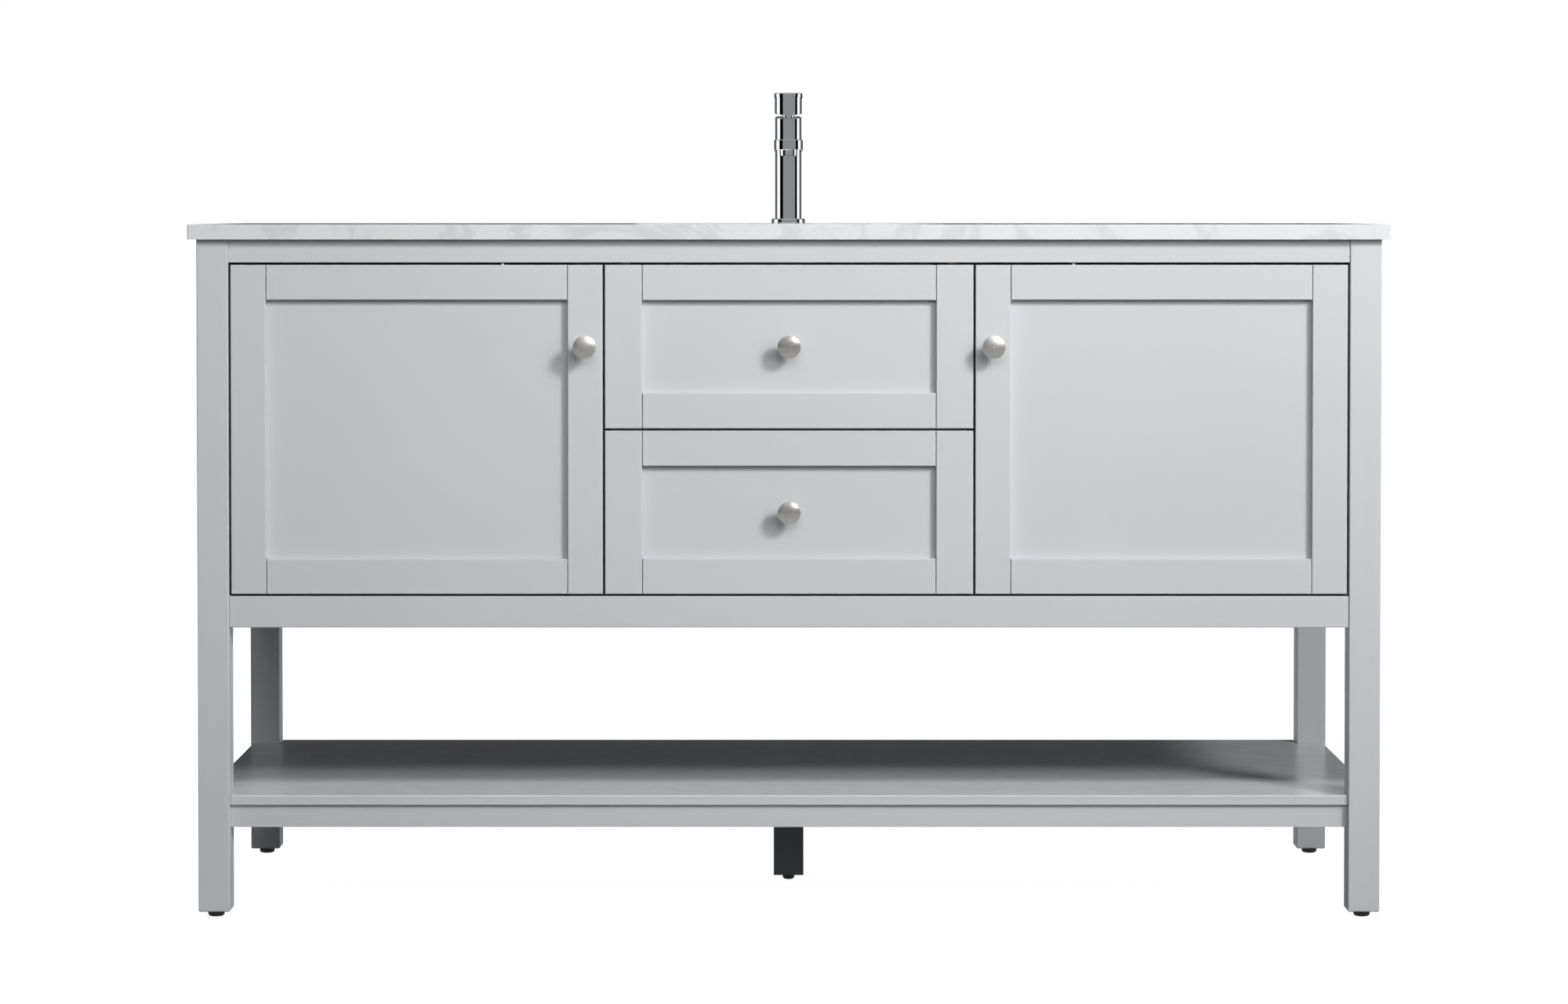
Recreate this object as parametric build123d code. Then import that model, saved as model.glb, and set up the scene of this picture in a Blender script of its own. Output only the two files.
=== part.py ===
"""Freestanding bathroom vanity: a framed cabinet on legs with an open shelf, two doors, two drawers,
a stone top, an undermount basin and a single-lever tap.

Millimetres. +X right, +Y to the wall, +Z up. The origin is on the floor, under the object's middle.
Lengths along Y are written as distances behind the front face of the legs, and placed by block() and at().
"""

from build123d import *
import os

# ---- driving dimensions -------------------------------------------------------------------------
TOP_WIDTH, TOP_DEPTH, TOP_THICK = 1524.0, 559.0, 19.0
TOP_OVERHANG = 10.0  # past the legs at the front and at each side
CABINET_WIDTH, CABINET_DEPTH = 1504.0, 546.0
CABINET_HEIGHT = 864.0  # floor to the underside of the top
LEG = 40.0
FOOT_HEIGHT = 8.0
FACE_SETBACK = 2.0  # rails, doors and drawer fronts stand this far behind the legs' front face
FACE_THICK = 20.0
GAP = 2.8  # between fronts, and between a front and the frame
FACE_CLEARANCE = 2.0  # from the back of the fronts to what stands behind them
TOP_RAIL = 29.5
BOTTOM_RAIL = 40.0
DIVIDER_RAIL = 22.0  # the rail behind the gap between the drawers
BODY_FLOOR = 410.5  # top of the cabinet floor and of the bottom rail
DRAWER_WIDTH = 468.0
DOOR_STILE, DOOR_RAIL = 44.5, 44.5
DRAWER_STILE, DRAWER_RAIL = 47.0, 45.0
PANEL_RECESS, PANEL_THICK, PANEL_TONGUE = 9.0, 6.0, 6.0
SEAM = 0.8  # bevel along the front edges of each stile and rail
JOINT = 0.7  # the open line between a stile and a rail's shoulder
EDGE = 1.5  # rounding of the legs
BOARD = 18.0
SHELF_TOP, SHELF_THICK, SHELF_RAIL = 156.0, 12.0, 29.0
SHELF_SETBACK, SHELF_RAIL_SETBACK = 5.0, 10.0
KNOB_REACH, KNOB_R = 26.0, 14.5

# ---- places worked out from them ----------------------------------------------------------------
KNOB_PROUD = KNOB_REACH - FACE_SETBACK  # past the legs' front face
DEPTH_OVERALL = KNOB_PROUD + TOP_DEPTH - TOP_OVERHANG
FRONT = KNOB_PROUD - DEPTH_OVERALL / 2  # Y of the legs' front face
LEG_OUT = CABINET_WIDTH / 2
LEG_IN = LEG_OUT - LEG
FACE_BACK = FACE_SETBACK + FACE_THICK
RAIL_TOP_Z = CABINET_HEIGHT - TOP_RAIL
FRONT_Z0, FRONT_Z1 = BODY_FLOOR + GAP, RAIL_TOP_Z - GAP
DOOR_WIDTH = (2 * LEG_IN - DRAWER_WIDTH - 4 * GAP) / 2
DRAWER_HEIGHT = (FRONT_Z1 - FRONT_Z0 - GAP) / 2
SIDE_OUT = LEG_OUT - FACE_SETBACK
SIDE_IN = SIDE_OUT - 24.0
PARTITION_X = DRAWER_WIDTH / 2 + GAP / 2  # middle of each partition
BAY_HALF = PARTITION_X - BOARD / 2  # half the inside width of the drawer bay
BACK_Y = CABINET_DEPTH - 2.0 - BOARD  # front face of the back rails
HANG_RAIL = 80.0
SHELF_Z0 = SHELF_TOP - SHELF_THICK
SHELF_RAIL_Z0 = SHELF_Z0 - SHELF_RAIL
TOP_Z1 = CABINET_HEIGHT + TOP_THICK

SUPPORT_Y = (CABINET_DEPTH + FACE_THICK) / 2  # front of the middle support, behind the middle stretcher
KNOB_Z = FRONT_Z1 - DRAWER_HEIGHT / 2  # both doors' knobs and the upper drawer's

# ---- feet and fixings ---------------------------------------------------------------------------
INSERT_R, INSERT_TALL = 6.0, 20.0
STEM_R, STEM_CLEARANCE, STEM_TALL = 4.0, 0.08, 24.0
FOOT_R, CENTRE_FOOT_R, FOOT_ROUND, FOOT_CLEARANCE = 10.5, 8.0, 3.5, 0.2
LEG_CENTRE_X, BACK_LEG_Y = LEG_OUT - LEG / 2, CABINET_DEPTH - LEG / 2
FEET = {
    "foot_front_left": (-LEG_CENTRE_X, LEG / 2, FOOT_R),
    "foot_front_right": (LEG_CENTRE_X, LEG / 2, FOOT_R),
    "foot_back_left": (-LEG_CENTRE_X, BACK_LEG_Y, FOOT_R),
    "foot_back_right": (LEG_CENTRE_X, BACK_LEG_Y, FOOT_R),
    "foot_centre": (0, SUPPORT_Y + LEG / 2, CENTRE_FOOT_R),
}
WALL_SCREW_X, WALL_SCREW_Z, WALL_SCREW_R = 400.0, CABINET_HEIGHT - HANG_RAIL / 2, 2.75
BRACE, BRACE_THICK, BRACE_HOLE = 60.0, 18.0, 20.0
TOP_SCREW_R, TOP_SCREW_DEEP = 2.5, 9.0  # the screws that hold the top down to the braces
TOP_SCREW_XS = (-LEG_IN + BRACE_HOLE, LEG_IN - BRACE_HOLE)
TOP_SCREW_YS = (FACE_BACK + BRACE_HOLE, BACK_Y - BRACE_HOLE)
TOP_SCREWS = [(x, y) for x in TOP_SCREW_XS for y in TOP_SCREW_YS]
KNOB_SCREW_R = 2.0

# ---- doors' hinges ------------------------------------------------------------------------------
HINGE_INSET = 80.0  # hinge centre from the door's top and bottom ends
HINGE_ZS = (FRONT_Z0 + HINGE_INSET, FRONT_Z1 - HINGE_INSET)
CUP_R, CUP_DEPTH, CUP_FROM_EDGE, CUP_WALL, CUP_FLANGE = 17.5, 12.0, 20.5, 1.0, 1.2
PLATE_HALF, HUB_HALF, ARM_HALF = 24.0, 8.0, 6.5  # half heights of the hinge's wing plate, hub and arm
HUB_X, ARM_Y = -LEG_IN + 3.0, FACE_BACK + 2.5
PACKER_LENGTH, PACKER_HALF = 60.0, 35.0

# ---- drawers ------------------------------------------------------------------------------------
BOX_SIDE, BOX_LENGTH, BOX_BOTTOM = 12.0, 400.0, 6.0
SLIDE_THICK, SLIDE_LENGTH, SHEET = 12.75, 400.0, 1.2
CHANNEL_HALF, MIDDLE_HALF, RUNNER_HALF, BALL_PLAY = 22.5, 18.0, 12.5, 0.3
BOX_HALF = BAY_HALF - SLIDE_THICK
SLIDE_Y = FACE_BACK + 4.0
CAGE_LENGTH, CAGE_THICK, CAGE_INSET, CAGE_X = 150.0, 3.0, 20.0, -BAY_HALF + 7.5
LOWER_BOX_Z, UPPER_BOX_Z = (430.0, 570.0), (640.0, 705.0)
SLIDE_ZS = {"upper": sum(UPPER_BOX_Z) / 2, "lower": sum(LOWER_BOX_Z) / 2}
NOTCH_HALF, NOTCH_Y = 60.0, 212.0  # the upper drawer is open round the drain pipe, from here to its back

# ---- basin, drain and tap -----------------------------------------------------------------------
BOWL_X, BOWL_Y, BOWL_CORNER, BOWL_DEPTH, BOWL_TAPER = 406.0, 305.0, 55.0, 128.0, 7.0
BOWL_WALL, BOWL_FLANGE, FLANGE_THICK = 8.0, 20.0, 10.0
BOWL_CENTRE_Y = 95.0 + BOWL_Y / 2
CLIP_X, CLIP_HALF, CLIP_SHEET, CLIP_STUD_R = 120.0, 10.0, 3.0, 4.0  # the clips under the basin's flange
BASIN_BOTTOM = CABINET_HEIGHT - BOWL_DEPTH  # inside face of the bowl's floor
BASIN_UNDER = BASIN_BOTTOM - 12.0
OVERFLOW_R, OVERFLOW_Y, OVERFLOW_Z = 10.0, BOWL_CENTRE_Y + BOWL_Y / 2 + 1.0, CABINET_HEIGHT - 34.0
DRAIN_R, TAIL_R, TAIL_WALL, TAIL_END_Z = 22.5, 15.875, 1.2, 590.0
DRAIN_RIM_R, DRAIN_RIM_TALL, DRAIN_NUT_TALL, DRAIN_NUT_R, GASKET_R = 30.0, 3.0, 10.0, 33.0, 34.0
THREAD_R, THREAD_TALL, GASKET = 22.0, 42.0, 6.0
CROSS_BAR, CROSS_Z = 3.0, BASIN_BOTTOM - 9.0  # the strainer cross in the drain
PRONG_IN, PRONG_WIDE, PRONG_TALL = 12.2, 3.0, 18.0  # the stopper's four prongs, between the cross's arms
PRONG_CLEARANCE = 0.3
TAP_Y = BOWL_CENTRE_Y + BOWL_Y / 2 + 72.0
TAP_R, TAP_CAP_R, TAP_NECK_R, TAP_BASE_R, TAP_BASE_TALL = 18.1, 18.7, 8.0, 23.0, 6.6
TAP_BODY_TALL, TAP_GAP, TAP_CAP_TALL, LEVER_THICK = 147.1, 4.4, 21.5, 5.3
TAP_SLOPE = 7.5  # the gap under the lever's cap rises this much towards the rear, in degrees
SPOUT_Z, SPOUT_THICK, SPOUT_R, SPOUT_REACH = 99.6, 14.1, 19.5, 112.0
BLADE_R, LEVER_REACH = 19.3, 62.0
TILT = 20.0  # the lever's lift
TAP_HOLE_R, SHANK_R, SHANK_END_Z = 17.5, 14.0, CABINET_HEIGHT - 46.0
HOSE_R, HOSE_X, HOSE_DEEP = 4.5, 5.5, 20.0
WASHER_R, WASHER_TALL, SHANK_NUT_R, SHANK_NUT_TALL = 24.0, 4.0, 22.0, 12.0
AERATOR_R, AERATOR_PROUD = 12.0, 7.5
CARTRIDGE_R, CARTRIDGE_DEEP, CARTRIDGE_CLEARANCE = 14.0, 18.0, 0.05
TAP_TOP = TOP_Z1 + TAP_BODY_TALL
CAP_Z = TAP_TOP + TAP_GAP
TILT_Z, TILT_PIN_R, TILT_PIN_HALF = CAP_Z + 6.0, 2.0, 11.0  # the lever tips about this pin


def block(x0, x1, y0, y1, z0, z1):
    """A box between two corners. Y is behind the legs' front face."""
    return Pos((x0 + x1) / 2, FRONT + (y0 + y1) / 2, (z0 + z1) / 2) * Box(x1 - x0, y1 - y0, z1 - z0)


def at(x, y, z):
    """A place, with Y behind the legs' front face."""
    return Pos(x, FRONT + y, z)


def rod(radius, x, y, z0, z1):
    return at(x, y, (z0 + z1) / 2) * Cylinder(radius, z1 - z0)


def rod_y(radius, x, y0, y1, z):
    return at(x, (y0 + y1) / 2, z) * Rot(90, 0, 0) * Cylinder(radius, y1 - y0)


def both_sides(*shapes):
    """The shapes, and their mirror images on the other side of the middle."""
    return [*shapes, *(mirror(s, about=Plane.YZ) for s in shapes)]


def front_edges(shape, size=SEAM):
    """Bevels the edges of the foremost face."""
    return chamfer(shape.faces().sort_by(Axis.Y)[0].edges(), size)


def turned(points, x, y, z, to_front=False):
    """A solid of revolution from (radius, height) points, about Z, or about Y with height going forwards."""
    outline = make_face(Polyline(*[(r, 0, h) for r, h in points], close=True))
    solid = revolve(outline, Axis.Z, 360)
    return at(x, y, z) * (Rot(90, 0, 0) * solid if to_front else solid)


def save(name, *shapes):
    solids = [s for shape in shapes for s in shape.solids()]
    export_step(Compound(solids), f"parts/{name}.step")


# ---- legs, rails and carcass --------------------------------------------------------------------
def leg(x0, y0):
    shape = block(x0, x0 + LEG, y0, y0 + LEG, FOOT_HEIGHT, CABINET_HEIGHT)
    shape = fillet(shape.edges().filter_by(Axis.Z), EDGE)
    shape = chamfer(shape.faces().sort_by(Axis.Z)[0].edges(), 1.2)
    return shape - foot_socket(x0 + LEG / 2, y0 + LEG / 2)


def foot_socket(x, y):
    """The hole for the foot's threaded insert and, above it, for the end of its stem."""
    insert_top = FOOT_HEIGHT + INSERT_TALL
    over_stem = rod(STEM_R + 1.0, x, y, insert_top, FOOT_HEIGHT + STEM_TALL + 8.0)
    return rod(INSERT_R, x, y, FOOT_HEIGHT, insert_top) + over_stem


def foot_insert(x, y):
    sleeve = rod(INSERT_R, x, y, FOOT_HEIGHT, FOOT_HEIGHT + INSERT_TALL)
    return sleeve - rod(STEM_R + STEM_CLEARANCE, x, y, FOOT_HEIGHT, FOOT_HEIGHT + INSERT_TALL)


def levelling_foot(x, y, pad_r):
    """A domed plastic pad on a screwed stem."""
    pad_top = FOOT_HEIGHT - FOOT_CLEARANCE
    pad = rod(pad_r, x, y, 0, pad_top)
    pad = fillet(pad.faces().sort_by(Axis.Z)[0].edges(), FOOT_ROUND)
    return pad + rod(STEM_R, x, y, pad_top - 1, FOOT_HEIGHT + STEM_TALL)


def build_legs():
    back = CABINET_DEPTH - LEG
    save("leg_front_left", leg(-LEG_OUT, 0))
    save("leg_front_right", leg(LEG_IN, 0))
    save("leg_back_left", leg(-LEG_OUT, back))
    save("leg_back_right", leg(LEG_IN, back))


def build_feet():
    for name, (x, y, pad_r) in FEET.items():
        save(name, levelling_foot(x, y, pad_r))
    inserts = [foot_insert(x, y) for x, y, _ in FEET.values()]
    save("screws_and_inserts", *inserts, *(top_screw(x, y) for x, y in TOP_SCREWS))


def build_rails():
    top = block(-LEG_IN, LEG_IN, FACE_SETBACK, FACE_BACK, RAIL_TOP_Z, CABINET_HEIGHT)
    bottom = block(-LEG_IN, LEG_IN, FACE_SETBACK, FACE_BACK, BODY_FLOOR - BOTTOM_RAIL, BODY_FLOOR)
    divider_y, divider_z = FACE_BACK + FACE_CLEARANCE, FRONT_Z0 + DRAWER_HEIGHT + (GAP - DIVIDER_RAIL) / 2
    divider = block(-BAY_HALF, BAY_HALF, divider_y, divider_y + BOARD, divider_z, divider_z + DIVIDER_RAIL)
    save("front_rails", front_edges(top), front_edges(bottom), divider)
    back = (BACK_Y, BACK_Y + BOARD)
    hang = block(-LEG_IN, LEG_IN, *back, CABINET_HEIGHT - HANG_RAIL, CABINET_HEIGHT)
    for x in (-WALL_SCREW_X, WALL_SCREW_X):
        hang -= rod_y(WALL_SCREW_R, x, *back, WALL_SCREW_Z)
    save("back_rails", hang, block(-LEG_IN, LEG_IN, *back, BODY_FLOOR - BOTTOM_RAIL, BODY_FLOOR))
    y0, y1 = LEG, CABINET_DEPTH - LEG
    rails = [
        block(-SIDE_OUT, -SIDE_IN, y0, y1, RAIL_TOP_Z, CABINET_HEIGHT),
        block(-SIDE_OUT, -SIDE_IN, y0, y1, BODY_FLOOR - BOTTOM_RAIL, BODY_FLOOR),
    ]
    rails = [chamfer(r.faces().sort_by(Axis.X)[0].edges(), SEAM) for r in rails]
    save("side_rails", *both_sides(*rails))
    panel_out = SIDE_OUT - PANEL_RECESS
    save("side_panels", *both_sides(block(-panel_out, -SIDE_IN, y0, y1, BODY_FLOOR, RAIL_TOP_Z)))


def build_carcass():
    floor_thick, back_thick = 15.0, 6.0
    floor = block(-SIDE_IN, SIDE_IN, FACE_BACK, BACK_Y, BODY_FLOOR - floor_thick, BODY_FLOOR)
    for y0, y1 in ((FACE_BACK, LEG), (CABINET_DEPTH - LEG, BACK_Y)):
        for notch in both_sides(block(-SIDE_IN, -LEG_IN, y0, y1, BODY_FLOOR - floor_thick, BODY_FLOOR)):
            floor -= notch
    save("cabinet_floor", floor)
    x0, x1 = -PARTITION_X - BOARD / 2, -BAY_HALF
    front = FACE_BACK + FACE_CLEARANCE
    partition = block(x0, x1, front, BACK_Y, BODY_FLOOR, CABINET_HEIGHT)
    partition += block(x0, x1, FACE_BACK, front, RAIL_TOP_Z, CABINET_HEIGHT)
    save("partitions", *both_sides(partition))
    back = block(-LEG_IN, x1, BACK_Y, BACK_Y + back_thick, BODY_FLOOR, CABINET_HEIGHT - HANG_RAIL)
    save("back_panels", *both_sides(back))
    save("corner_braces", *corner_braces(FACE_BACK, 1), *corner_braces(BACK_Y, -1))


def corner_braces(y, turn):
    """The pair of three-cornered blocks under the top, against a rail at y and the legs."""
    corner = Polyline((0, 0), (BRACE, 0), (0, turn * BRACE), close=True)
    z = CABINET_HEIGHT - BRACE_THICK
    shape = at(-LEG_IN, y, z) * extrude(make_face(corner), BRACE_THICK)
    shape -= rod(TOP_SCREW_R, -LEG_IN + BRACE_HOLE, y + turn * BRACE_HOLE, z, CABINET_HEIGHT)
    return both_sides(shape)


def top_screw(x, y):
    """A pan-head screw from under a brace into the top."""
    z = CABINET_HEIGHT - BRACE_THICK
    return rod(2 * TOP_SCREW_R, x, y, z - 3, z) + rod(TOP_SCREW_R, x, y, z, CABINET_HEIGHT + TOP_SCREW_DEEP)


def build_shelf():
    edge = LEG_OUT - 3.0
    clear = 0.5
    shelf = block(-edge, edge, SHELF_SETBACK, CABINET_DEPTH - 2.0, SHELF_Z0, SHELF_TOP)
    for y0, y1 in ((0, LEG + clear), (CABINET_DEPTH - LEG - clear, CABINET_DEPTH)):
        for notch in both_sides(block(-LEG_OUT, -LEG_IN + clear, y0, y1, SHELF_Z0, SHELF_TOP)):
            shelf -= notch
    save("lower_shelf", chamfer(shelf.faces().sort_by(Axis.Z)[-1].edges(), SEAM))
    z0, z1 = SHELF_RAIL_Z0, SHELF_Z0
    front_y = SHELF_RAIL_SETBACK
    side_x = LEG_OUT - SHELF_RAIL_SETBACK
    middle_x = side_x - BOARD
    side = block(-side_x, -middle_x, LEG, CABINET_DEPTH - LEG, z0, z1)
    save(
        "shelf_rails",
        block(-LEG_IN, LEG_IN, front_y, front_y + BOARD, z0, z1),
        block(-LEG_IN, LEG_IN, BACK_Y, BACK_Y + BOARD, z0, z1),
        block(-middle_x, middle_x, SUPPORT_Y - FACE_THICK, SUPPORT_Y, z0, z1),
        *both_sides(side),
    )
    support = block(-LEG / 2, LEG / 2, SUPPORT_Y, SUPPORT_Y + LEG, FOOT_HEIGHT, SHELF_Z0)
    support = chamfer(support.edges().filter_by(Axis.Z), 1.0)
    save("centre_support_leg", support - foot_socket(0, SUPPORT_Y + LEG / 2))


# ---- knobs, framed fronts and hinges ------------------------------------------------------------
def knob(x, y, z):
    """A turned mushroom knob with a slightly domed face. Its foot stands on the front at y."""
    base_r, neck_r, rim, dome = 7.5, 5.2, 2.2, 3.0
    cap = KNOB_REACH - dome - rim
    line = Polyline((0, 0), (base_r, 0), (base_r, 2.5), (neck_r, 5.0), (neck_r, 10.0))
    flare = Spline((neck_r, 10.0), (8.5, 14.5), (KNOB_R, cap), tangents=((0, 1), (1, 0.25)))
    edge = Line((KNOB_R, cap), (KNOB_R, cap + rim))
    face = TangentArc((0, KNOB_REACH), (KNOB_R, cap + rim), tangent=(1, 0))
    outline = make_face(Curve() + [line, flare, edge, face, Line((0, KNOB_REACH), (0, 0))])
    return at(x, y, z) * Rot(90, 0, 0) * revolve(Plane.XZ * outline, Axis.Z, 360)


def knob_screw(x, y, length, z):
    """A pan-head screw from behind: shank from y forwards, and its head behind y."""
    head = rod_y(KNOB_SCREW_R * 2.0, x, y, y + 2.6, z)
    return head + rod_y(KNOB_SCREW_R, x, y - length, y, z)


def framed_front(x0, x1, z0, z1, stile, rail):
    """A five-piece front: two stiles and two rails, grooved round a flat panel."""
    y0, y1 = FACE_SETBACK, FACE_BACK
    groove = (y0 + PANEL_RECESS, y0 + PANEL_RECESS + PANEL_THICK)
    in_x0, in_x1, in_z0, in_z1 = x0 + stile, x1 - stile, z0 + rail, z1 - rail
    tongue_x0, tongue_x1 = in_x0 - PANEL_TONGUE, in_x1 + PANEL_TONGUE
    panel = block(tongue_x0, tongue_x1, *groove, in_z0 - PANEL_TONGUE, in_z1 + PANEL_TONGUE)
    tenon_slot = block(tongue_x0, tongue_x1, *groove, z0, z1)
    stiles = [front_edges(block(a, b, y0, y1, z0, z1)) - tenon_slot for a, b in ((x0, in_x0), (in_x1, x1))]
    rails = []
    for a, b in ((z0, in_z0), (in_z1, z1)):
        rail_bar = front_edges(block(in_x0 + JOINT, in_x1 - JOINT, y0, y1, a, b))
        tenons = block(tongue_x0, tongue_x1, *groove, a, b)
        rails.append(rail_bar + tenons - panel)
    return stiles, rails, panel


def hinge_cup(x, z):
    """A pressed cup let into the back of the stile, with its fixing flange."""
    flange_y, inside_r = FACE_BACK + CUP_FLANGE, CUP_R - CUP_WALL
    shape = rod_y(CUP_R, x, FACE_BACK - CUP_DEPTH, FACE_BACK, z)
    shape += rod_y(CUP_R + 2.0, x, FACE_BACK, flange_y, z)
    shape += block(x - 5.5, x + 5.5, FACE_BACK, flange_y, z - 28, z + 28)
    return shape - rod_y(inside_r, x, FACE_BACK - CUP_DEPTH + CUP_WALL, flange_y, z)


def build_doors():
    x0 = -LEG_IN + GAP
    x1 = x0 + DOOR_WIDTH
    stiles, rails, panel = framed_front(x0, x1, FRONT_Z0, FRONT_Z1, DOOR_STILE, DOOR_RAIL)
    cup_x = x0 + CUP_FROM_EDGE
    knob_x = x1 - DOOR_STILE / 2
    screw = knob_screw(knob_x, FACE_BACK, FACE_THICK, KNOB_Z)
    hinge_stile, lock_stile = stiles
    for z in HINGE_ZS:
        hinge_stile -= rod_y(CUP_R, cup_x, FACE_BACK - CUP_DEPTH, FACE_BACK, z)
    lock_stile -= rod_y(KNOB_SCREW_R, knob_x, FACE_SETBACK, FACE_BACK, KNOB_Z)
    cups = [hinge_cup(cup_x, z) for z in HINGE_ZS]
    pieces = {
        "frame": [hinge_stile, lock_stile, *rails],
        "panel": [panel],
        "knob": [knob(knob_x, FACE_SETBACK, KNOB_Z), screw],
        "hinge_cups": cups,
    }
    for part, solids in pieces.items():
        save(f"left_door_{part}", *solids)
        save(f"right_door_{part}", *(mirror(s, about=Plane.YZ) for s in solids))


def hinge_arm(z):
    """The fixed half of a concealed hinge: wing plate on the packer, and the arm that reaches to the cup."""
    plate = block(-LEG_IN, HUB_X, 52, 84, z - PLATE_HALF, z + PLATE_HALF)
    hub = block(HUB_X, HUB_X + 6.0, 46, 88, z - HUB_HALF, z + HUB_HALF)
    arm = block(HUB_X + 1.0, HUB_X + 10.0, ARM_Y + 2.5, 86, z - ARM_HALF, z + ARM_HALF)
    nose = block(HUB_X + 1.0, HUB_X + 27.0, ARM_Y, ARM_Y + 7.5, z - ARM_HALF, z + ARM_HALF)
    nose = fillet(nose.edges().filter_by(Axis.Z).sort_by(Axis.X)[-2:], 2.5)
    return plate + hub + arm + nose


def build_hinges():
    save("hinge_arms", *both_sides(*(hinge_arm(z) for z in HINGE_ZS)))
    y1 = LEG + PACKER_LENGTH
    packers = [block(-SIDE_IN, -LEG_IN, LEG, y1, z - PACKER_HALF, z + PACKER_HALF) for z in HINGE_ZS]
    save("hinge_packers", *both_sides(*packers))


# ---- drawers and their slides -------------------------------------------------------------------
def channel(x_web, x_lip, half_tall, z):
    """A folded channel along Y: its web at x_web and its two lips reaching to x_lip."""
    towards = 1 if x_lip > x_web else -1
    web = sorted((x_web, x_web + towards * SHEET))
    lips = sorted((x_web, x_lip))
    y0, y1 = SLIDE_Y, SLIDE_Y + SLIDE_LENGTH
    shape = block(*web, y0, y1, z - half_tall, z + half_tall)
    for edge in (-half_tall, half_tall - SHEET):
        shape += block(*lips, y0, y1, z + edge, z + edge + SHEET)
    return shape


def ball_cages(z):
    """The strips of balls on a middle member: one pair runs in the fixed channel, one on the runner."""
    x0, x1 = CAGE_X - CAGE_THICK / 2, CAGE_X + CAGE_THICK / 2
    outer = (MIDDLE_HALF, CHANNEL_HALF - SHEET - BALL_PLAY, SLIDE_Y + SLIDE_LENGTH - CAGE_LENGTH - CAGE_INSET)
    inner = (RUNNER_HALF + BALL_PLAY, MIDDLE_HALF - SHEET, SLIDE_Y + CAGE_INSET)
    strips = []
    for low, high, y0 in (outer, inner):
        strips.append(block(x0, x1, y0, y0 + CAGE_LENGTH, z + low, z + high))
        strips.append(block(x0, x1, y0, y0 + CAGE_LENGTH, z - high, z - low))
    return strips


def build_slides():
    """Ball-bearing slides: a fixed channel, a middle member that goes half way, and the drawer's runner."""
    fixed = []
    for name, z in SLIDE_ZS.items():
        fixed += both_sides(channel(-BAY_HALF, -BAY_HALF + 10.5, CHANNEL_HALF, z))
        middle = channel(-BAY_HALF + 4.2, -BOX_HALF - 2.0, MIDDLE_HALF, z)
        save(f"{name}_slide_middles", *both_sides(middle, *ball_cages(z)))
        save(f"{name}_slide_runners", *both_sides(channel(-BOX_HALF, -BOX_HALF - 6.0, RUNNER_HALF, z)))
    save("slide_channels", *fixed)


def drawer_box(z0, z1, notched):
    """Sides, ends and grooved bottom. A notched box has its back open and walled round the drain pipe."""
    y0, y1 = FACE_BACK, FACE_BACK + BOX_LENGTH
    inside = BOX_HALF - BOX_SIDE
    floor0 = z0 + 8.0
    floor1 = floor0 + BOX_BOTTOM
    front = block(-inside, inside, y0, y0 + BOX_SIDE, z0, z1)
    sides = both_sides(block(-BOX_HALF, -inside, y0, y1, z0, z1))
    bottom = block(-inside, inside, y0 + BOX_SIDE, y1 - BOX_SIDE, floor0, floor1)
    if not notched:
        back = block(-inside, inside, y1 - BOX_SIDE, y1, z0, z1)
        return [front, back, *sides], bottom
    wall = NOTCH_HALF + BOX_SIDE
    backs = both_sides(block(-inside, -wall, y1 - BOX_SIDE, y1, z0, z1))
    cheeks = both_sides(block(-wall, -NOTCH_HALF, NOTCH_Y, y1, z0, z1))
    across = block(-NOTCH_HALF, NOTCH_HALF, NOTCH_Y - BOX_SIDE, NOTCH_Y, z0, z1)
    bottom -= block(-wall, wall, NOTCH_Y, y1, floor0, floor1)
    bottom -= block(-NOTCH_HALF, NOTCH_HALF, NOTCH_Y - BOX_SIDE, NOTCH_Y, floor0, floor1)
    return [front, *sides, *backs, *cheeks, across], bottom


def build_drawers():
    half = DRAWER_WIDTH / 2
    upper_z0 = FRONT_Z1 - DRAWER_HEIGHT
    for name, z0, box_z in (("lower", FRONT_Z0, LOWER_BOX_Z), ("upper", upper_z0, UPPER_BOX_Z)):
        z1 = z0 + DRAWER_HEIGHT
        stiles, rails, panel = framed_front(-half, half, z0, z1, DRAWER_STILE, DRAWER_RAIL)
        panel_y = FACE_SETBACK + PANEL_RECESS
        knob_z = (z0 + z1) / 2
        panel -= rod_y(KNOB_SCREW_R, 0, panel_y, panel_y + PANEL_THICK, knob_z)
        walls, bottom = drawer_box(*box_z, notched=name == "upper")
        save(f"{name}_drawer_front_frame", *stiles, *rails)
        save(f"{name}_drawer_front_panel", panel)
        screw = knob_screw(0, panel_y + PANEL_THICK, PANEL_THICK, knob_z)
        save(f"{name}_drawer_knob", knob(0, panel_y, knob_z), screw)
        save(f"{name}_drawer_box_walls", *walls)
        save(f"{name}_drawer_box_bottom", bottom)


# ---- top, basin and drain -----------------------------------------------------------------------
def bowl_prism(margin, z_top, tall, taper=0.0):
    """A round-cornered prism that stands out from the bowl's mouth by margin, and goes down from z_top."""
    outline = RectangleRounded(BOWL_X + 2 * margin, BOWL_Y + 2 * margin, BOWL_CORNER + margin)
    return at(0, BOWL_CENTRE_Y, z_top) * extrude(outline, -tall, taper=taper)


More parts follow.
